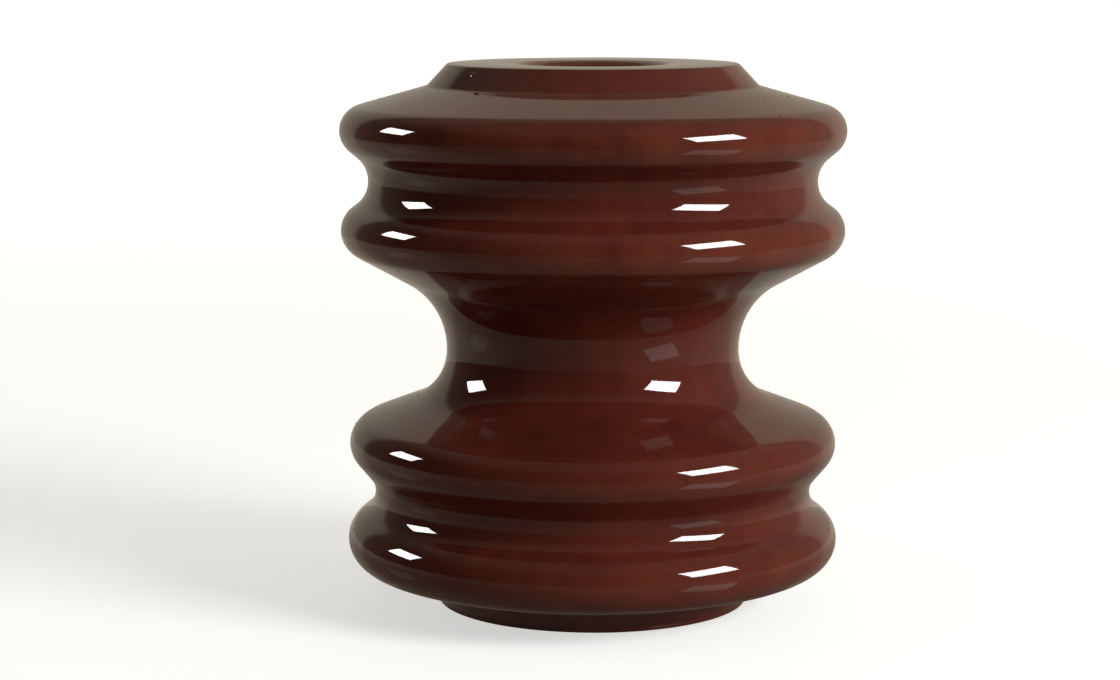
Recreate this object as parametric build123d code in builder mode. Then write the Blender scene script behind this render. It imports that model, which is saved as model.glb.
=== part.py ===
from build123d import *
import os
from math import acos, atan2, degrees, hypot

# Spool insulator for a wire fence: one fired porcelain spool with a brown glaze fused to it.
# The bore stands along Z, and the origin is the centre of the bottom bearing face.
# A bolt through the bore holds the spool to its post, and the wire is tied round the waist.
#
# The outside is a chain of arcs joined by straight flanks. A rib or an edge is a convex arc
# and a valley, a fillet or the waist is a concave one. Each is placed by its tip, which is
# its widest point if it is convex and its deepest one if it is concave.

# ---- driving dimensions (mm) ----
body_height = 85.8
spool_radius = 40.0              # to the tip of the widest rib

bore_radius = 8.75               # 17.5 mm hole for a 16 mm bolt
mouth_round = 4.25               # both ends of the bore

glaze_thickness = 0.35
glaze_line_height = 0.45         # bare clay below this, where the spool stood in the kiln

# upper boss: a flared collar with a flat bearing ring on top
top_ring_edge_tip = 23.35
top_ring_edge_round = 0.7
top_fillet_tip = 25.7
top_fillet_round = 1.1
top_fillet_drop = 2.5            # centre of the arc, below the top face

# upper pair of ribs, measured down from the top face and in from the widest radius
top_rib_inset = 0.0
top_rib_round = 4.1
top_rib_drop = 10.5
upper_valley_depth = 4.45        # in from the tip of the top rib
upper_valley_round = 4.8
upper_valley_drop = 18.4
upper_inner_rib_inset = 0.1
upper_inner_rib_round = 4.3
upper_inner_rib_drop = 26.2

# waist for the wire: two arcs that meet at its smallest radius
waist_radius = 23.3
waist_upper_round = 12.4
waist_lower_round = 8.65
waist_sag = 2.3                  # smallest radius sits this far below mid-height

# lower pair of ribs, measured up from the bottom face and in from the widest radius
lower_inner_rib_inset = 1.2
lower_inner_rib_round = 4.4
lower_inner_rib_rise = 25.7
lower_valley_depth = 4.0         # in from the tip of the lower inner rib
lower_valley_round = 3.9
lower_valley_rise = 17.9
bottom_rib_inset = 0.85
bottom_rib_round = 4.8
bottom_rib_rise = 10.3

# lower boss
foot_fillet_tip = 26.05
foot_fillet_round = 1.1
foot_fillet_rise = 2.4
foot_edge_tip = 24.3
foot_edge_round = 0.6

# share of the room between two neighbouring arcs that their rounds may take
room_share = 0.98

# ---- derived places ----
bore_wall_top = body_height - mouth_round
mouth_radius = bore_radius + mouth_round

top_rib_tip = spool_radius - top_rib_inset
upper_inner_rib_tip = spool_radius - upper_inner_rib_inset
lower_inner_rib_tip = spool_radius - lower_inner_rib_inset
bottom_rib_tip = spool_radius - bottom_rib_inset

top_rib_height = body_height - top_rib_drop
upper_valley_height = body_height - upper_valley_drop
upper_inner_rib_height = body_height - upper_inner_rib_drop
waist_height = body_height / 2 - waist_sag
upper_valley_radius = top_rib_tip - upper_valley_depth
lower_valley_radius = lower_inner_rib_tip - lower_valley_depth


def room_beside(rib_tip, rib_height, rib_round, hollow_radius, hollow_height):
    """Largest concave round that still meets the rib's round smoothly."""
    depth = rib_tip - hollow_radius
    spacing = abs(rib_height - hollow_height)
    both_rounds = (depth**2 + spacing**2) / (2 * depth)
    return room_share * both_rounds - rib_round


upper_valley_fit = min(
    upper_valley_round,
    room_beside(
        top_rib_tip, top_rib_height, top_rib_round, upper_valley_radius, upper_valley_height
    ),
    room_beside(
        upper_inner_rib_tip,
        upper_inner_rib_height,
        upper_inner_rib_round,
        upper_valley_radius,
        upper_valley_height,
    ),
)
waist_upper_fit = min(
    waist_upper_round,
    room_beside(
        upper_inner_rib_tip,
        upper_inner_rib_height,
        upper_inner_rib_round,
        waist_radius,
        waist_height,
    ),
)
waist_lower_fit = min(
    waist_lower_round,
    room_beside(
        lower_inner_rib_tip,
        lower_inner_rib_rise,
        lower_inner_rib_round,
        waist_radius,
        waist_height,
    ),
)
lower_valley_fit = min(
    lower_valley_round,
    room_beside(
        lower_inner_rib_tip,
        lower_inner_rib_rise,
        lower_inner_rib_round,
        lower_valley_radius,
        lower_valley_rise,
    ),
    room_beside(
        bottom_rib_tip,
        bottom_rib_rise,
        bottom_rib_round,
        lower_valley_radius,
        lower_valley_rise,
    ),
)


# ---- the outline as arcs: (centre radius, centre height, round, side) ----
def convex(tip, height, rounding):
    return (tip - rounding, height, rounding, 1)


def concave(tip, height, rounding):
    return (tip + rounding, height, rounding, -1)


upper_side = [
    convex(top_ring_edge_tip, body_height - top_ring_edge_round, top_ring_edge_round),
    concave(top_fillet_tip, body_height - top_fillet_drop, top_fillet_round),
    convex(top_rib_tip, top_rib_height, top_rib_round),
    concave(upper_valley_radius, upper_valley_height, upper_valley_fit),
    convex(upper_inner_rib_tip, upper_inner_rib_height, upper_inner_rib_round),
    concave(waist_radius, waist_height, waist_upper_fit),
]
lower_side = [
    concave(waist_radius, waist_height, waist_lower_fit),
    convex(lower_inner_rib_tip, lower_inner_rib_rise, lower_inner_rib_round),
    concave(lower_valley_radius, lower_valley_rise, lower_valley_fit),
    convex(bottom_rib_tip, bottom_rib_rise, bottom_rib_round),
    concave(foot_fillet_tip, foot_fillet_rise, foot_fillet_round),
    # the foot stands bare, so its edge is sized on the clay and the glaze would lie outside it
    convex(foot_edge_tip + glaze_thickness, foot_edge_round, foot_edge_round + glaze_thickness),
]


def flank_angle(first, second):
    """Outward angle, in degrees, of the straight flank from one arc to the next one down."""
    radius_step = second[0] - first[0]
    height_step = second[1] - first[1]
    offset = first[2] * first[3] - second[2] * second[3]
    lean = acos(max(-1.0, min(1.0, offset / hypot(radius_step, height_step))))
    angle = degrees(atan2(height_step, radius_step) + lean)
    return angle - 360 if angle > 180 else angle


def draw_rounds(arcs, first_angle, last_angle, depth):
    """Draw arcs and flanks downwards, lying the given depth under the finished surface."""
    inner = [flank_angle(upper, lower) for upper, lower in zip(arcs, arcs[1:])]
    angles = [first_angle] + inner + [last_angle]
    drawn = []
    for arc, angle_in, angle_out in zip(arcs, angles, angles[1:]):
        radius, height, rounding, side = arc
        start = angle_in if side > 0 else angle_in + 180
        drawn.append(
            CenterArc((radius, height), rounding - side * depth, start, angle_out - angle_in)
        )
    for upper, lower in zip(drawn, drawn[1:]):
        Line(upper @ 1, lower @ 0)
    return drawn[0] @ 0, drawn[-1] @ 1


def draw_outside(depth):
    """Draw the whole outside from the top ring to the foot and return its two ends."""
    ring_edge, _ = draw_rounds(upper_side, 90, 0, depth)
    _, foot_edge = draw_rounds(lower_side, 0, -90, depth)
    return ring_edge, foot_edge


def draw_top_mouth(depth):
    """Draw the rounding at the top of the bore, upwards from the end of the bore's wall."""
    return CenterArc((mouth_radius, bore_wall_top), mouth_round - depth, 180, -90)


# ---- porcelain body ----
with BuildPart() as porcelain_body:
    with BuildSketch(Plane.XZ):
        with BuildLine():
            ring_edge, foot_edge = draw_outside(glaze_thickness)
            foot_mouth = CenterArc((mouth_radius, mouth_round), mouth_round, 270, -90)
            top_mouth = draw_top_mouth(glaze_thickness)
            bore_top = (bore_radius, bore_wall_top)
            Line(foot_edge, foot_mouth @ 0)
            Line(foot_mouth @ 1, bore_top)
            Line(bore_top, top_mouth @ 0)
            Line(top_mouth @ 1, ring_edge)
        make_face()
    revolve(axis=Axis.Z)

# ---- glaze: over the outside, the top ring and the upper mouth of the bore ----
with BuildPart() as glaze_coat:
    with BuildSketch(Plane.XZ):
        with BuildLine():
            outer_ring_edge, outer_foot = draw_outside(0)
            inner_ring_edge, inner_foot = draw_outside(glaze_thickness)
            outer_mouth = draw_top_mouth(0)
            inner_mouth = draw_top_mouth(glaze_thickness)
            Line(outer_mouth @ 0, inner_mouth @ 0)
            Line(outer_mouth @ 1, outer_ring_edge)
            Line(inner_mouth @ 1, inner_ring_edge)
            Line(outer_foot, inner_foot)
        make_face()
    revolve(axis=Axis.Z)
    split(bisect_by=Plane.XY.offset(glaze_line_height), keep=Keep.TOP)

# ---- output ----
os.makedirs("parts", exist_ok=True)

porcelain_body.part.label = "porcelain_body"
export_step(porcelain_body.part, "parts/porcelain_body.step")

glaze_coat.part.label = "glaze_coat"
export_step(glaze_coat.part, "parts/glaze_coat.step")
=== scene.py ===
from math import acos, asin, atan2, ceil, cos, hypot, pi, radians, sin, tan

import bpy
from mathutils import Matrix, Vector


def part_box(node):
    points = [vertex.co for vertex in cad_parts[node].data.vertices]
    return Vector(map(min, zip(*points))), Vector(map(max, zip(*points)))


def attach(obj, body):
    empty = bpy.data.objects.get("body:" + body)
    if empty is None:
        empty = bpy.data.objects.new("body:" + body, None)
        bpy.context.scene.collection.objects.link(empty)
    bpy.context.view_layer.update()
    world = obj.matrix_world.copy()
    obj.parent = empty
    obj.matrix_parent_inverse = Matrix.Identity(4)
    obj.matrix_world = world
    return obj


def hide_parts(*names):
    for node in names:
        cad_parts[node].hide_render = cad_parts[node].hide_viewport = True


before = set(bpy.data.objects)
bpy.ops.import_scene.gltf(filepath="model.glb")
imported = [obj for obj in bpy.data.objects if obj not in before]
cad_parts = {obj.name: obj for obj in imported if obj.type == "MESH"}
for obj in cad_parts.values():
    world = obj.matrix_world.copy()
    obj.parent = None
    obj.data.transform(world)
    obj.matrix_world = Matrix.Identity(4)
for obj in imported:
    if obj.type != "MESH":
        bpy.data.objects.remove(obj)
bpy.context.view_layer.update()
print("frame loaded")

mm = 0.001
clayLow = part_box("porcelain_body")[0]
glazeLow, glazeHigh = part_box("glaze_coat")
topHeight = glazeHigh.z / mm      # the spool's own sizes below are in millimetres
widestRadius = glazeHigh.x / mm
footHeight = clayLow.z / mm
glazeLine = glazeLow.z / mm


def linkPiece(name, mesh):
    piece = bpy.data.objects.new(name, mesh)
    bpy.context.scene.collection.objects.link(piece)
    return piece


def addNode(tree, kind, inputs=None, **settings):
    node = tree.nodes.new(kind)
    for key, value in settings.items():
        setattr(node, key, value)
    for key, value in (inputs or {}).items():
        if isinstance(value, bpy.types.NodeSocket):
            tree.links.new(value, node.inputs[key])
        else:
            node.inputs[key].default_value = value
    return node


def mathOf(tree, operation, *values):
    return addNode(tree, "ShaderNodeMath", dict(enumerate(values)), operation=operation).outputs[0]


def vectorOf(tree, operation, inputs, output=0):
    node = addNode(tree, "ShaderNodeVectorMath", inputs, operation=operation)
    return node.outputs[output]


def mapOf(tree, value, fromMin, fromMax, toMin=0.0, toMax=1.0, blend="LINEAR"):
    inputs = {0: value, 1: fromMin, 2: fromMax, 3: toMin, 4: toMax}
    return addNode(tree, "ShaderNodeMapRange", inputs, interpolation_type=blend).outputs[0]


def mixColors(tree, factor, first, second):
    node = addNode(tree, "ShaderNodeMix", {0: factor, 6: first, 7: second}, data_type="RGBA")
    return node.outputs[2]


# the turned outline is a chain of arcs joined by straight flanks, in millimetres
spool = {
    "boreRadius": 8.75,
    "mouthRound": 4.25,
    "glazeThickness": 0.35,
    # ribs: inset of the tip from the widest radius, height from the nearer end, rounding
    "topRib": (0.0, 10.5, 4.1),
    "upperInnerRib": (0.1, 26.2, 4.3),
    "lowerInnerRib": (1.2, 25.7, 4.4),
    "bottomRib": (0.85, 10.3, 4.8),
    # hollows: smallest radius, height from the nearer end, rounding
    "topFillet": (25.7, 2.5, 1.1),
    "upperValley": (35.55, 18.4, 4.8),
    "lowerValley": (34.8, 17.9, 3.9),
    "footFillet": (26.05, 2.4, 1.1),
    "waistRadius": 23.3,
    "waistSag": 2.3,
    "waistRounds": (12.4, 8.65),
    # flat rings: outer radius of the rounded edge, rounding
    "topRingEdge": (23.35, 0.7),
    "footEdge": (24.3, 0.6),
}


# an arc is (center radius, center height, rounding, side): side is 1 for a rib, -1 for a hollow
def ribArc(name, fromTop):
    inset, rise, rounding = spool[name]
    height = topHeight - rise if fromTop else footHeight + rise
    return (widestRadius - inset - rounding, height, rounding, 1)


def hollowArc(name, fromTop):
    radius, rise, rounding = spool[name]
    height = topHeight - rise if fromTop else footHeight + rise
    return (radius + rounding, height, rounding, -1)


def waistArc(rounding):
    height = (topHeight + footHeight) / 2 - spool["waistSag"]
    return (spool["waistRadius"] + rounding, height, rounding, -1)


ringTip, ringRound = spool["topRingEdge"]
footTip, footRound = spool["footEdge"]
thickness = spool["glazeThickness"]
upperArcs = [
    (ringTip - ringRound, topHeight - ringRound, ringRound, 1),
    hollowArc("topFillet", True),
    ribArc("topRib", True),
    hollowArc("upperValley", True),
    ribArc("upperInnerRib", True),
    waistArc(spool["waistRounds"][0]),
]
lowerArcs = [
    waistArc(spool["waistRounds"][1]),
    ribArc("lowerInnerRib", False),
    hollowArc("lowerValley", False),
    ribArc("bottomRib", False),
    hollowArc("footFillet", False),
    (footTip - footRound, footHeight + footRound, footRound + thickness, 1),
]


def flankAngle(first, second):
    # outward angle of the straight flank that touches both arcs
    across, down = second[0] - first[0], second[1] - first[1]
    offset = first[2] * first[3] - second[2] * second[3]
    lean = acos(max(-1.0, min(1.0, offset / hypot(across, down))))
    angle = atan2(down, across) + lean
    return angle - 2 * pi if angle > pi else angle


def sampleArc(center, radius, start, end, turnStep):
    steps = max(4, ceil(abs(end - start) / radians(turnStep)))
    angles = [start + (end - start) * i / steps for i in range(steps + 1)]
    return [(center[0] + radius * cos(a), center[1] + radius * sin(a)) for a in angles]


def sampleLine(start, end, spacing):
    steps = max(1, ceil(hypot(end[0] - start[0], end[1] - start[1]) / spacing))
    return [
        (start[0] + (end[0] - start[0]) * i / steps, start[1] + (end[1] - start[1]) * i / steps)
        for i in range(1, steps)
    ]


def sideOutline(arcs, firstAngle, lastAngle, depth, grain):
    # from the top down, the given depth under the finished surface
    turnStep, spacing = grain
    angles = [firstAngle] + [flankAngle(a, b) for a, b in zip(arcs, arcs[1:])] + [lastAngle]
    points = []
    for arc, angleIn, angleOut in zip(arcs, angles, angles[1:]):
        radius, height, rounding, side = arc
        turn = 0 if side > 0 else pi
        run = sampleArc(
            (radius, height), rounding - side * depth, angleIn + turn, angleOut + turn, turnStep
        )
        if points:
            points += sampleLine(points[-1], run[0], spacing)
        points += run
    return points


def outsideOutline(depth, grain, footAngle=-pi / 2):
    upper = sideOutline(upperArcs, pi / 2, 0, depth, grain)
    lower = sideOutline(lowerArcs, 0, footAngle, depth, grain)
    return upper + lower[1:]


def mouthOutline(depth, grain):
    center = (spool["boreRadius"] + spool["mouthRound"], topHeight - spool["mouthRound"])
    return sampleArc(center, spool["mouthRound"] - depth, pi, pi / 2, grain[0])


def hemAngle(depth, height):
    # where the foot's rounding, the given depth under the surface, comes down to a height
    center, rounding = lowerArcs[-1][1], lowerArcs[-1][2] - depth
    return asin((height - center) / rounding)


weldDistance = 2e-6     # closes the seam of the turn


def profileMesh(name, points):
    # a point is (radius, height, skin, hemRadius, hemHeight) in the XZ plane: skin is its share of
    # the unevenness, and the last two say which way it moves as the hem wanders
    mesh = bpy.data.meshes.new(name)
    mesh.from_pydata([(p[0] * mm, 0, p[1] * mm) for p in points], [], [])
    skin = mesh.attributes.new("skin", "FLOAT", "POINT")
    hem = mesh.attributes.new("hem", "FLOAT_VECTOR", "POINT")
    for i, p in enumerate(points):
        skin.data[i].value = p[2]
        hem.data[i].vector = (p[3], 0, p[4])
    return mesh


# the tree that turns an outline on the wheel
def revolveTree():
    tree = bpy.data.node_groups.new("turnOnWheel", "GeometryNodeTree")
    tree.interface.new_socket("Profile", in_out="INPUT", socket_type="NodeSocketGeometry")
    sizes = [
        ("Segments", "NodeSocketInt"),
        ("Wave Height", "NodeSocketFloat"),
        ("Wave Scale", "NodeSocketFloat"),
        ("Ring Height", "NodeSocketFloat"),
        ("Ring Scale", "NodeSocketFloat"),
        ("Grit Height", "NodeSocketFloat"),
        ("Grit Scale", "NodeSocketFloat"),
        ("Hem Wander", "NodeSocketFloat"),
        ("Hem Scale", "NodeSocketFloat"),
        ("Finish", "NodeSocketMaterial"),
    ]
    for label, kind in sizes:
        tree.interface.new_socket(label, in_out="INPUT", socket_type=kind)
    tree.interface.new_socket("Mesh", in_out="OUTPUT", socket_type="NodeSocketGeometry")
    given = addNode(tree, "NodeGroupInput").outputs

    # a flat grid, one column for each point of the outline and one row for each turn step
    count = addNode(
        tree, "GeometryNodeAttributeDomainSize", {0: given["Profile"]}, component="MESH"
    ).outputs["Point Count"]
    grid = addNode(
        tree,
        "GeometryNodeMeshGrid",
        {
            "Size X": count,
            "Size Y": 1.0,
            "Vertices X": mathOf(tree, "ADD", count, 1.0),
            "Vertices Y": mathOf(tree, "ADD", given["Segments"], 1.0),
        },
    ).outputs["Mesh"]
    place = addNode(tree, "GeometryNodeInputPosition").outputs[0]
    flat = addNode(tree, "ShaderNodeSeparateXYZ", {0: place}).outputs
    column = mathOf(tree, "ADD", flat[0], mathOf(tree, "DIVIDE", count, 2.0))
    column = mathOf(tree, "FLOORED_MODULO", mathOf(tree, "ROUND", column), count)
    turn = mathOf(tree, "MULTIPLY", mathOf(tree, "ADD", flat[1], 0.5), 2 * pi)

    def fromProfile(value, kind):
        return addNode(
            tree,
            "GeometryNodeSampleIndex",
            {"Geometry": given["Profile"], "Value": value, "Index": column},
            data_type=kind,
            domain="POINT",
        ).outputs[0]

    def named(name, kind):
        return addNode(
            tree, "GeometryNodeInputNamedAttribute", {"Name": name}, data_type=kind
        ).outputs["Attribute"]

    point = fromProfile(place, "FLOAT_VECTOR")
    skin = fromProfile(named("skin", "FLOAT"), "FLOAT")
    hem = fromProfile(named("hem", "FLOAT_VECTOR"), "FLOAT_VECTOR")
    marked = addNode(
        tree,
        "GeometryNodeStoreNamedAttribute",
        {"Geometry": grid, "Name": "skin", "Value": skin},
        data_type="FLOAT",
        domain="POINT",
    ).outputs[0]

    # the glaze's lower edge wanders up and down as it goes round
    around = addNode(
        tree,
        "ShaderNodeCombineXYZ",
        {0: mathOf(tree, "COSINE", turn), 1: mathOf(tree, "SINE", turn)},
    ).outputs[0]
    wander = addNode(
        tree, "ShaderNodeTexNoise", {"Vector": around, "Scale": given["Hem Scale"], "Detail": 3.0}
    ).outputs[0]
    wander = mathOf(tree, "MULTIPLY", mathOf(tree, "SUBTRACT", wander, 0.5), given["Hem Wander"])
    shifted = vectorOf(tree, "ADD", {0: point, 1: vectorOf(tree, "SCALE", {0: hem, 3: wander})})
    parts = addNode(tree, "ShaderNodeSeparateXYZ", {0: shifted}).outputs
    turned = addNode(
        tree,
        "ShaderNodeCombineXYZ",
        {
            0: mathOf(tree, "MULTIPLY", parts[0], mathOf(tree, "COSINE", turn)),
            1: mathOf(tree, "MULTIPLY", parts[0], mathOf(tree, "SINE", turn)),
            2: parts[2],
        },
    ).outputs[0]
    shape = addNode(tree, "GeometryNodeSetPosition", {"Geometry": marked, "Position": turned})
    shape = addNode(
        tree,
        "GeometryNodeMergeByDistance",
        {"Geometry": shape.outputs[0], "Distance": weldDistance},
    )

    # unevenness of hand work, always inwards: long waves, turning rings and grit
    def inwards(vector, scale, detail, height):
        noise = addNode(
            tree, "ShaderNodeTexNoise", {"Vector": vector, "Scale": scale, "Detail": detail}
        ).outputs[0]
        return mathOf(tree, "MULTIPLY", noise, height)

    heightOnly = addNode(
        tree,
        "ShaderNodeCombineXYZ",
        {2: addNode(tree, "ShaderNodeSeparateXYZ", {0: place}).outputs[2]},
    ).outputs[0]
    wave = inwards(place, given["Wave Scale"], 1.0, given["Wave Height"])
    rings = inwards(heightOnly, given["Ring Scale"], 2.0, given["Ring Height"])
    grit = inwards(place, given["Grit Scale"], 3.0, given["Grit Height"])
    sink = mathOf(tree, "ADD", mathOf(tree, "ADD", wave, rings), grit)
    sink = mathOf(tree, "MULTIPLY", sink, named("skin", "FLOAT"))
    normal = addNode(tree, "GeometryNodeInputNormal").outputs[0]
    offset = vectorOf(tree, "SCALE", {0: normal, 3: mathOf(tree, "MULTIPLY", sink, -1.0)})
    shape = addNode(
        tree, "GeometryNodeSetPosition", {"Geometry": shape.outputs[0], "Offset": offset}
    )
    shape = addNode(tree, "GeometryNodeSetShadeSmooth", {"Geometry": shape.outputs[0]})
    shape = addNode(tree, "GeometryNodeRealizeInstances", {"Geometry": shape.outputs[0]})
    shape = addNode(
        tree,
        "GeometryNodeSetMaterial",
        {"Geometry": shape.outputs[0], "Material": given["Finish"]},
    )
    addNode(tree, "NodeGroupOutput", {0: shape.outputs[0]})
    return tree


def runTree(name, source, tree, values):
    # runs the tree on the source mesh and returns the result as a plain piece
    carrier = linkPiece(name + "_source", source)
    modifier = carrier.modifiers.new("build", "NODES")
    modifier.node_group = tree
    for item in tree.interface.items_tree:
        if item.item_type == "SOCKET" and item.in_out == "INPUT" and item.name in values:
            modifier[item.identifier] = values[item.name]
    bpy.context.view_layer.update()
    graph = bpy.context.evaluated_depsgraph_get()
    mesh = bpy.data.meshes.new_from_object(carrier.evaluated_get(graph))
    mesh.name = name
    carrier.modifiers.remove(modifier)
    bpy.data.objects.remove(carrier)
    return linkPiece(name, mesh)


def newFinish(name):
    finish = bpy.data.materials.new(name)
    finish.use_nodes = True
    tree = finish.node_tree
    shader = tree.nodes["Principled BSDF"]
    place = addNode(tree, "ShaderNodeTexCoord").outputs["Object"]
    return finish, tree, shader, place


def noiseOf(tree, place, scale, detail=2.0, roughness=0.5, stretch=(1, 1, 1)):
    moved = addNode(tree, "ShaderNodeMapping", {"Vector": place, "Scale": stretch}).outputs[0]
    return addNode(
        tree,
        "ShaderNodeTexNoise",
        {"Vector": moved, "Scale": scale, "Detail": detail, "Roughness": roughness},
    ).outputs[0]


def spotsOf(tree, place, scale, edge, rarity):
    # one round spot in each cell of a Voronoi pattern, kept only where the cell's color is high
    cells = addNode(tree, "ShaderNodeTexVoronoi", {"Vector": place, "Scale": scale}).outputs
    spots = mapOf(tree, cells["Distance"], *edge, 1.0, 0.0)
    chance = addNode(tree, "ShaderNodeSeparateXYZ", {0: cells["Color"]}).outputs[0]
    return mathOf(tree, "MULTIPLY", spots, mathOf(tree, "GREATER_THAN", chance, rarity))


def bumpWith(tree, shader, height, strength, distance):
    inputs = {"Height": height, "Strength": strength, "Distance": distance}
    bump = addNode(tree, "ShaderNodeBump", inputs)
    tree.links.new(bump.outputs[0], shader.inputs["Normal"])


# scales are in cycles to the metre; a "between" pair is where a pattern starts to show and is
# full, or where spots start to fade and are gone, and for the crests it is a radius in metres
glazeLook = {
    "deep": (0.066, 0.0115, 0.0078, 1),
    "warm": (0.112, 0.0205, 0.0118, 1),
    "thin": (0.148, 0.034, 0.016, 1),
    "speck": (0.016, 0.008, 0.006, 1),
    "cloudScale": 70,
    "runScale": 260,
    "runStretch": (1, 1, 0.12),
    "runShare": 0.45,
    "grainScale": 1300,
    "grainShare": 0.35,
    "toneBetween": (0.65, 1.15),
    "crestBetween": (0.0380, 0.0402),
    "patchScale": 160,
    "patchBetween": (0.35, 0.65),
    "patchShare": (0.1, 0.6),
    "speckScale": 420.0,
    "speckBetween": (0.05, 0.10),
    "speckRarity": 0.80,
    "speckShare": 0.7,
    "hazeScale": 90,
    "hazeBetween": (0.4, 0.7),
    "roughness": (0.030, 0.060),
    "peelScale": 300,
    "peelStrength": 0.5,
    "peel": 0.007 * mm,
    "ior": 1.54,
}


def brownGlaze():
    finish, tree, shader, place = newFinish("brownGlaze")
    look = glazeLook
    axes = addNode(tree, "ShaderNodeSeparateXYZ", {0: place}).outputs
    outwards = addNode(tree, "ShaderNodeCombineXYZ", {0: axes[0], 1: axes[1]}).outputs[0]
    radius = vectorOf(tree, "LENGTH", {0: outwards}, "Value")
    clouds = noiseOf(tree, place, look["cloudScale"], 5, 0.6)
    runs = noiseOf(tree, place, look["runScale"], 3, stretch=look["runStretch"])
    grain = noiseOf(tree, place, look["grainScale"], 3, 0.7)
    tone = mathOf(tree, "ADD", clouds, mathOf(tree, "MULTIPLY", runs, look["runShare"]))
    tone = mathOf(tree, "ADD", tone, mathOf(tree, "MULTIPLY", grain, look["grainShare"]))
    tone = mapOf(tree, tone, *look["toneBetween"])
    color = mixColors(tree, tone, look["deep"], look["warm"])
    # the glaze drains off the tips of the ribs and lies thinner there
    tip = mapOf(tree, radius, *look["crestBetween"])
    patches = noiseOf(tree, place, look["patchScale"], 3)
    patches = mapOf(tree, patches, *look["patchBetween"], *look["patchShare"])
    color = mixColors(tree, mathOf(tree, "MULTIPLY", tip, patches), color, look["thin"])
    # small dark iron specks
    specks = spotsOf(tree, place, look["speckScale"], look["speckBetween"], look["speckRarity"])
    specks = mathOf(tree, "MULTIPLY", specks, look["speckShare"])
    color = mixColors(tree, specks, color, look["speck"])
    tree.links.new(color, shader.inputs["Base Color"])
    haze = noiseOf(tree, place, look["hazeScale"], 5, 0.6)
    haze = mapOf(tree, haze, *look["hazeBetween"], *look["roughness"])
    tree.links.new(haze, shader.inputs["Roughness"])
    peel = noiseOf(tree, place, look["peelScale"], 2)
    bumpWith(tree, shader, peel, look["peelStrength"], look["peel"])
    shader.inputs["IOR"].default_value = look["ior"]
    return finish


clayLook = {
    "pale": (0.56, 0.50, 0.42, 1),
    "dirty": (0.30, 0.25, 0.20, 1),
    "iron": (0.12, 0.07, 0.04, 1),
    "stainScale": 70,
    "stainBetween": (0.42, 0.72),
    "spotScale": 600.0,
    "spotBetween": (0.08, 0.16),
    "spotRarity": 0.6,
    "dullScale": 300,
    "dullBetween": (0.3, 0.7),
    "roughness": (0.72, 0.92),
    "grainScale": 2200,
    "grainStrength": 0.8,
    "grain": 0.06 * mm,
}


def bareClay():
    finish, tree, shader, place = newFinish("bareClay")
    look = clayLook
    stain = noiseOf(tree, place, look["stainScale"], 5, 0.6)
    stain = mapOf(tree, stain, *look["stainBetween"])
    color = mixColors(tree, stain, look["pale"], look["dirty"])
    spots = spotsOf(tree, place, look["spotScale"], look["spotBetween"], look["spotRarity"])
    color = mixColors(tree, spots, color, look["iron"])
    tree.links.new(color, shader.inputs["Base Color"])
    dull = noiseOf(tree, place, look["dullScale"], 3)
    dull = mapOf(tree, dull, *look["dullBetween"], *look["roughness"])
    tree.links.new(dull, shader.inputs["Roughness"])
    grain = noiseOf(tree, place, look["grainScale"], 4, 0.7)
    bumpWith(tree, shader, grain, look["grainStrength"], look["grain"])
    return finish


clayShape = {
    "Segments": 320,
    "Wave Height": 0.04 * mm,
    "Wave Scale": 80.0,
    "Ring Height": 0.05 * mm,
    "Ring Scale": 500.0,
    "Grit Height": 0.07 * mm,
    "Grit Scale": 900.0,
    "Hem Wander": 0.0,
    "Hem Scale": 3.5,
}

# steps along an outline: degrees along an arc, millimetres along a flank
fineGrain = (6.0, 1.2)
hiddenGrain = (18.0, 3.0)
footStep, boreStep = 0.6, 1.0


def buildClay(tree):
    # hidden under the glaze the surface is coarse, and finer where the clay lies bare
    bore, mouth = spool["boreRadius"], spool["mouthRound"]
    cover = mouthOutline(thickness, hiddenGrain) + outsideOutline(thickness, hiddenGrain)[1:]
    points = [(r, z, 0, 0, 0) for r, z in cover]
    foot = sampleLine(cover[-1], (bore + mouth, footHeight), footStep)
    lowerMouth = sampleArc(
        (bore + mouth, footHeight + mouth), mouth, -pi / 2, -pi, fineGrain[0]
    )
    boreTop = (bore, topHeight - mouth)
    wall = sampleLine(lowerMouth[-1], boreTop, boreStep)
    points += [(r, z, 1, 0, 0) for r, z in foot + lowerMouth + wall]
    values = dict(clayShape, Finish=bareClay())
    return runTree("fired_clay", profileMesh("clayOutline", points), tree, values)


glazeShape = {
    "Segments": 300,
    "Wave Height": 0.10 * mm,
    "Wave Scale": 42.0,
    "Ring Height": 0.03 * mm,
    "Ring Scale": 260.0,
    "Grit Height": 0.03 * mm,
    "Grit Scale": 150.0,
    "Hem Wander": 0.45 * mm,
    "Hem Scale": 3.5,
}

rolledHem = 0.17        # millimetres of height over which the glaze's lower edge is rounded
hemSteps = 6


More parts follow.
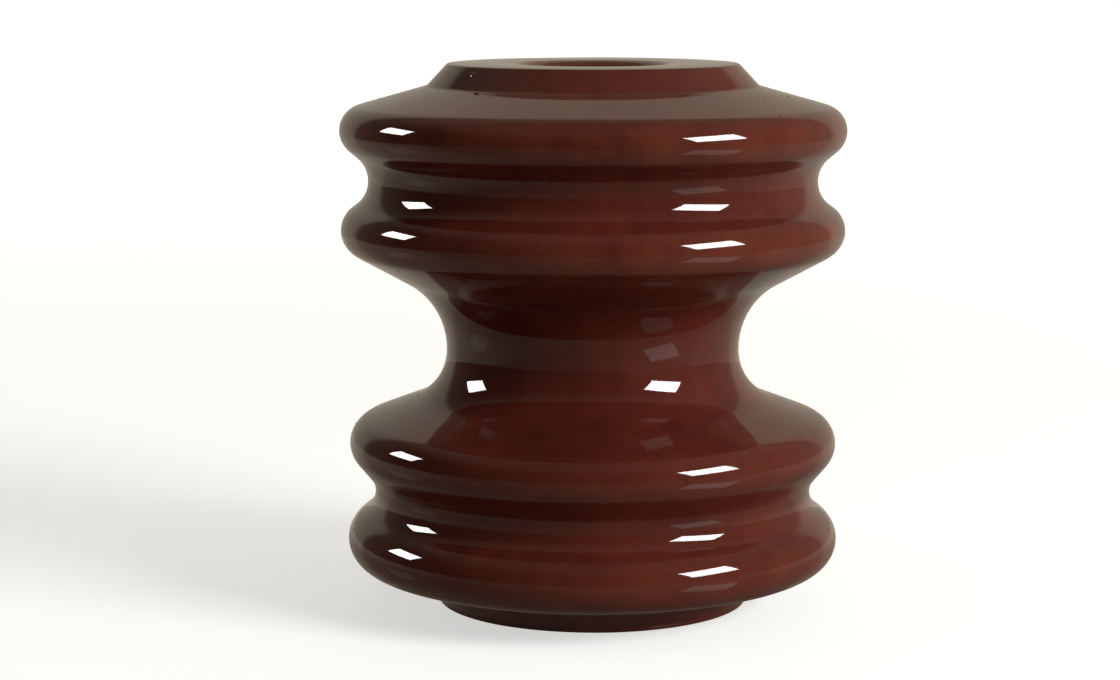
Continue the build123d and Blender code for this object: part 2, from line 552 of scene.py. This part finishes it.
def buildGlaze(tree, finish):
    outerEnd = hemAngle(0, glazeLine + rolledHem)
    innerEnd = hemAngle(thickness, glazeLine + rolledHem)
    outer = mouthOutline(0, fineGrain) + outsideOutline(0, fineGrain, outerEnd)[1:]
    inner = mouthOutline(thickness, hiddenGrain)
    inner += outsideOutline(thickness, hiddenGrain, innerEnd)[1:]
    # the hem is a half round from the outer face to the inner one
    start, end = outer[-1], inner[-1]
    middle = ((start[0] + end[0]) / 2, (start[1] + end[1]) / 2)
    half = hypot(start[0] - end[0], start[1] - end[1]) / 2
    hem = [
        (middle[0] + half * cos(a), middle[1] + rolledHem * sin(a))
        for a in (-pi * i / hemSteps for i in range(1, hemSteps))
    ]
    points = [(r, z, 1, 0, 0) for r, z in outer[:-1]]
    points += [(r, z, 0, 0, 1) for r, z in [start] + hem + [end]]
    points += [(r, z, 0, 0, 0) for r, z in reversed(inner[:-1])]
    values = dict(glazeShape, Finish=finish)
    return runTree("brown_glaze", profileMesh("glazeOutline", points), tree, values)


pimpleShape = {
    "Density": 2600.0,      # to the square metre
    "Size": 0.24 * mm,      # largest radius
    "Smallest Share": 0.35,
    "Flatness": 0.4,
    "Widest": 39.3 * mm,
    "Lowest": 3.0 * mm,
    "Highest": 85.3 * mm,
    "Blister Place": (-17.91 * mm, -15.32 * mm, 84.12 * mm),
    "Blister Size": 0.8 * mm,
    "Seed": 4,
}


def pimpleTree():
    # blobs of glaze over grit in the clay, strewn over a surface and sunk half into it
    tree = bpy.data.node_groups.new("strewPimples", "GeometryNodeTree")
    tree.interface.new_socket("Surface", in_out="INPUT", socket_type="NodeSocketGeometry")
    for label in (
        "Density", "Size", "Smallest Share", "Flatness", "Widest", "Lowest", "Highest"
    ):
        tree.interface.new_socket(label, in_out="INPUT", socket_type="NodeSocketFloat")
    tree.interface.new_socket("Blister Place", in_out="INPUT", socket_type="NodeSocketVector")
    tree.interface.new_socket("Blister Size", in_out="INPUT", socket_type="NodeSocketFloat")
    tree.interface.new_socket("Seed", in_out="INPUT", socket_type="NodeSocketInt")
    tree.interface.new_socket("Finish", in_out="INPUT", socket_type="NodeSocketMaterial")
    tree.interface.new_socket("Mesh", in_out="OUTPUT", socket_type="NodeSocketGeometry")
    given = addNode(tree, "NodeGroupInput").outputs
    place = addNode(tree, "GeometryNodeInputPosition").outputs[0]
    axes = addNode(tree, "ShaderNodeSeparateXYZ", {0: place}).outputs
    flat = addNode(tree, "ShaderNodeCombineXYZ", {0: axes[0], 1: axes[1]}).outputs[0]
    radius = vectorOf(tree, "LENGTH", {0: flat}, "Value")
    skin = addNode(
        tree, "GeometryNodeInputNamedAttribute", {"Name": "skin"}, data_type="FLOAT"
    ).outputs["Attribute"]
    # on the outer face only, and off the crests, the top ring and the foot, where they would
    # stand out of the spool's box
    clear = mathOf(tree, "LESS_THAN", radius, given["Widest"])
    clear = mathOf(tree, "MULTIPLY", clear, mathOf(tree, "GREATER_THAN", axes[2], given["Lowest"]))
    clear = mathOf(tree, "MULTIPLY", clear, mathOf(tree, "LESS_THAN", axes[2], given["Highest"]))
    clear = mathOf(tree, "MULTIPLY", clear, mathOf(tree, "GREATER_THAN", skin, 0.9))
    points = addNode(
        tree,
        "GeometryNodeDistributePointsOnFaces",
        {
            "Mesh": given["Surface"],
            "Selection": mathOf(tree, "GREATER_THAN", clear, 0.5),
            "Density": given["Density"],
            "Seed": given["Seed"],
        },
    ).outputs
    blob = addNode(tree, "GeometryNodeMeshIcoSphere", {"Radius": 1.0, "Subdivisions": 2})
    chance = addNode(
        tree,
        "FunctionNodeRandomValue",
        {2: given["Smallest Share"], 3: 1.0, "Seed": given["Seed"]},
        data_type="FLOAT",
    ).outputs[1]
    size = mathOf(tree, "MULTIPLY", chance, given["Size"])
    scale = addNode(
        tree,
        "ShaderNodeCombineXYZ",
        {0: size, 1: size, 2: mathOf(tree, "MULTIPLY", size, given["Flatness"])},
    ).outputs[0]
    strewn = addNode(
        tree,
        "GeometryNodeInstanceOnPoints",
        {
            "Points": points["Points"],
            "Instance": blob.outputs[0],
            "Rotation": points["Rotation"],
            "Scale": scale,
        },
    ).outputs[0]
    # one low, wide blister on the flank of the upper boss: a ball sunk to a shallow cap
    ball = addNode(
        tree,
        "GeometryNodeMeshIcoSphere",
        {"Radius": given["Blister Size"], "Subdivisions": 3},
    )
    blister = addNode(
        tree,
        "GeometryNodeTransform",
        {"Geometry": ball.outputs[0], "Translation": given["Blister Place"]},
    ).outputs[0]
    joined = addNode(tree, "GeometryNodeJoinGeometry")
    tree.links.new(blister, joined.inputs[0])
    tree.links.new(strewn, joined.inputs[0])
    shape = addNode(tree, "GeometryNodeRealizeInstances", {0: joined.outputs[0]}).outputs[0]
    shape = addNode(tree, "GeometryNodeSetShadeSmooth", {0: shape}).outputs[0]
    shape = addNode(
        tree, "GeometryNodeSetMaterial", {"Geometry": shape, "Material": given["Finish"]}
    ).outputs[0]
    addNode(tree, "NodeGroupOutput", {0: shape})
    return tree


def buildPimples(surface, finish):
    values = dict(pimpleShape, Finish=finish)
    return runTree("glaze_pimples", surface.data.copy(), pimpleTree(), values)


wheel = revolveTree()
glazeFinish = brownGlaze()
clay = buildClay(wheel)
print("clay turned:", len(clay.data.polygons), "faces")
glaze = buildGlaze(wheel, glazeFinish)
print("glaze turned:", len(glaze.data.polygons), "faces")
pimples = buildPimples(glaze, glazeFinish)
print("pimples strewn:", len(pimples.data.polygons), "faces")

for piece, slot in ((clay, "porcelain"), (glaze, "brown_glaze"), (pimples, "brown_glaze")):
    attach(piece, "root")
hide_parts("porcelain_body")
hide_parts("glaze_coat")

studio = {
    # the pale paper: metres, and its glow from beside the spool outwards
    "sweepHalf": 2.0,
    "sweepFront": 0.8,
    "sweepDepth": 3.0,
    "coveRadius": 0.8,
    "coveHeight": 2.2,
    "coveSteps": 24,
    "sweepColor": (0.70, 0.70, 0.69, 1),
    "sweepShine": 0.6,
    "sweepLight": (1, 1, 0.98, 1),
    "sweepFade": (0.15, 1.0),
    "sweepGlow": (0.60, 0.88),
    # a card glowing with painted light in place of the lit table top under the spool, with painted
    # shade near the spool and dimmer towards the camera
    "tableHalf": (0.45, 0.42),
    "tableSink": 0.1 * mm,
    "tableColor": (0.02, 0.02, 0.02, 1),
    "tableShine": 0.05,
    "tableIor": 2.6,
    "tableSpoolShade": (0.04, 0.14),
    "tableFrontFade": (-0.12, -0.02),
    "tableGlow": (0.11, 0.25),
    # how far the lamps stand off, and for each its azimuth from the camera's side towards +X,
    # elevation, width, height and roll, all in degrees, then its power in watts, what it lights
    # and the share of it left where the glaze mirrors it twice
    "reach": 1.6,
    "leftBox": (-103.5, 22.2, 17.5, 13.0, 0, 11, "gloss", 0.02),
    "rightBox": (58, 24, 25.5, 17.0, 9, 24.5, "both", 0.11),
    "leftFill": (-92, 18, 45, 45, 0, 2.6, "matte", 1.0),
    "rightFill": (100, 8, 45, 45, 0, 8.0, "matte", 1.0),
    # the camera looks along +Y and down: metres, degrees and a lens in millimetres
    "cameraDistance": 0.4247,
    "cameraHeight": 0.1034,
    "cameraPitch": 8.26,
    "cameraYaw": 0.70,
    "lens": 86.5,
    "nearClip": 0.01,
}


# each glow of the room: the axis it lies along, where on it the glow starts and is full, and
# its strength
room = {
    "color": (1.12, 1.0, 0.80, 1),
    "backdrop": (1, 0.66, 0.76, 0.26),
    "backdropTop": (2, 0.58, 0.68, 1.0),
    "farSide": (1, 0.0, 0.75, 0.08),
    "ceiling": (2, 0.55, 0.80, 0.10),
    "rightSide": (0, 0.1, 0.9, 0.10),
    "everywhere": 0.03,
    "paper": (1, 1, 0.99, 1),
    "paperGlow": 1.05,
}


def paleFinish(name, color, shine, glow):
    finish, tree, shader, place = newFinish(name)
    shader.inputs["Base Color"].default_value = color
    shader.inputs["Roughness"].default_value = shine
    shader.inputs["Emission Color"].default_value = glow
    return finish, tree, shader, place


def buildSweep():
    # pale paper that curves up behind the spool, seen only by the camera
    half, depth = studio["sweepHalf"], studio["sweepDepth"]
    bend, rise, steps = studio["coveRadius"], studio["coveHeight"], studio["coveSteps"]
    line = [(-studio["sweepFront"], 0.0)]
    line += [
        (depth - bend + bend * sin(a), bend - bend * cos(a))
        for a in (pi / 2 * i / steps for i in range(steps + 1))
    ]
    line.append((depth, rise))
    points = [(x, y, z) for x in (-half, half) for y, z in line]
    count = len(line)
    faces = [(i, count + i, count + i + 1, i + 1) for i in range(count - 1)]
    mesh = bpy.data.meshes.new("studio_sweep")
    mesh.from_pydata(points, [], faces)
    for polygon in mesh.polygons:
        polygon.use_smooth = True
    sweep = linkPiece("studio_sweep", mesh)
    finish, tree, shader, place = paleFinish(
        "palePaper", studio["sweepColor"], studio["sweepShine"], studio["sweepLight"]
    )
    away = vectorOf(tree, "LENGTH", {0: place}, "Value")
    glow = mapOf(tree, away, *studio["sweepFade"], *studio["sweepGlow"], blend="SMOOTHSTEP")
    tree.links.new(glow, shader.inputs["Emission Strength"])
    mesh.materials.append(finish)
    sweep.visible_glossy = False
    sweep.visible_diffuse = False
    sweep.visible_shadow = False


def buildTable():
    # what the glaze mirrors of the ground: a small polished table top whose brightness is a
    # painted-light glow away from the spool, with painted shade near it
    halfX, halfY = studio["tableHalf"]
    signs = ((-1, -1), (1, -1), (1, 1), (-1, 1))
    corners = [(x * halfX, y * halfY, -studio["tableSink"]) for x, y in signs]
    mesh = bpy.data.meshes.new("table_card")
    mesh.from_pydata(corners, [], [(0, 1, 2, 3)])
    table = linkPiece("table_card", mesh)
    finish, tree, shader, place = paleFinish(
        "polishedCard", studio["tableColor"], studio["tableShine"], room["color"]
    )
    axes = addNode(tree, "ShaderNodeSeparateXYZ", {0: place}).outputs
    away = vectorOf(tree, "LENGTH", {0: place}, "Value")
    # the card's glow is painted light, with painted shade near the spool and dimmer towards the
    # camera
    paintedLight = mathOf(
        tree,
        "MULTIPLY",
        mapOf(tree, away, *studio["tableSpoolShade"], blend="SMOOTHSTEP"),
        mapOf(tree, axes[1], *studio["tableFrontFade"], blend="SMOOTHSTEP"),
    )
    glow = mapOf(tree, paintedLight, 0.0, 1.0, *studio["tableGlow"])
    tree.links.new(glow, shader.inputs["Emission Strength"])
    shader.inputs["IOR"].default_value = studio["tableIor"]
    mesh.materials.append(finish)
    table.visible_camera = False
    table.visible_shadow = False


# ray depths at which a lamp is met after one mirroring in the glaze, and after two
mirrorDepths = (2.0, 3.0)


def buildLight(name, azimuth, elevation, width, height, roll, power, lights, echo):
    data = bpy.data.lights.new(name, "AREA")
    reach = studio["reach"]
    data.shape = "RECTANGLE"
    data.size = 2 * reach * tan(radians(width / 2))
    data.size_y = 2 * reach * tan(radians(height / 2))
    data.energy = power
    data.use_nodes = True
    tree = data.node_tree
    depth = addNode(tree, "ShaderNodeLightPath").outputs["Ray Depth"]
    share = mapOf(tree, depth, *mirrorDepths, 1.0, echo)
    tree.links.new(share, tree.nodes["Emission"].inputs["Strength"])
    light = bpy.data.objects.new(name, data)
    bpy.context.scene.collection.objects.link(light)
    light.visible_diffuse = lights != "gloss"
    light.visible_glossy = lights != "matte"
    a, e = radians(azimuth), radians(elevation)
    target = Vector((0, 0, topHeight / 2 * mm))
    away = Vector((sin(a) * cos(e), -cos(a) * cos(e), sin(e)))
    turn = away.to_track_quat("Z", "Y").to_matrix().to_4x4()
    light.matrix_world = Matrix.Translation(target + away * reach) @ turn @ Matrix.Rotation(
        radians(roll), 4, "Z"
    )


def buildWorld():
    # a dark room on the camera's side, a grey backdrop behind the spool and a dim ceiling
    world = bpy.data.worlds.new("room")
    bpy.context.scene.world = world
    world.use_nodes = True
    tree = world.node_tree
    way = addNode(tree, "ShaderNodeTexCoord").outputs["Generated"]
    parts = addNode(tree, "ShaderNodeSeparateXYZ", {0: way}).outputs

    def layer(name):
        axis, start, full, strength = room[name]
        return mapOf(tree, parts[axis], start, full, 0.0, strength, blend="SMOOTHSTEP")

    belowTop = mathOf(tree, "SUBTRACT", 1.0, layer("backdropTop"))
    glow = mathOf(tree, "MULTIPLY", layer("backdrop"), belowTop)
    for side in ("farSide", "ceiling", "rightSide"):
        glow = mathOf(tree, "ADD", glow, layer(side))
    glow = mathOf(tree, "ADD", glow, room["everywhere"])
    surround = tree.nodes["Background"]
    # the camera sees plain pale paper all round, and only the lighting comes from the room
    seen = addNode(tree, "ShaderNodeLightPath").outputs["Is Camera Ray"]
    strength = mapOf(tree, seen, 0.0, 1.0, glow, room["paperGlow"])
    tree.links.new(strength, surround.inputs["Strength"])
    color = mixColors(tree, seen, room["color"], room["paper"])
    tree.links.new(color, surround.inputs["Color"])


def buildCamera():
    data = bpy.data.cameras.new("camera")
    data.lens = studio["lens"]
    data.clip_start = studio["nearClip"]
    camera = bpy.data.objects.new("camera", data)
    bpy.context.scene.collection.objects.link(camera)
    spot = Matrix.Translation((0, -studio["cameraDistance"], studio["cameraHeight"]))
    yaw = Matrix.Rotation(radians(studio["cameraYaw"]), 4, "Z")
    pitch = Matrix.Rotation(radians(90 - studio["cameraPitch"]), 4, "X")
    camera.matrix_world = spot @ yaw @ pitch
    bpy.context.scene.camera = camera


buildSweep()
buildTable()
for box in ("leftBox", "rightBox", "leftFill", "rightFill"):
    buildLight(box, *studio[box])
buildWorld()
buildCamera()
bpy.context.scene.view_settings.view_transform = "Standard"
print("studio built")
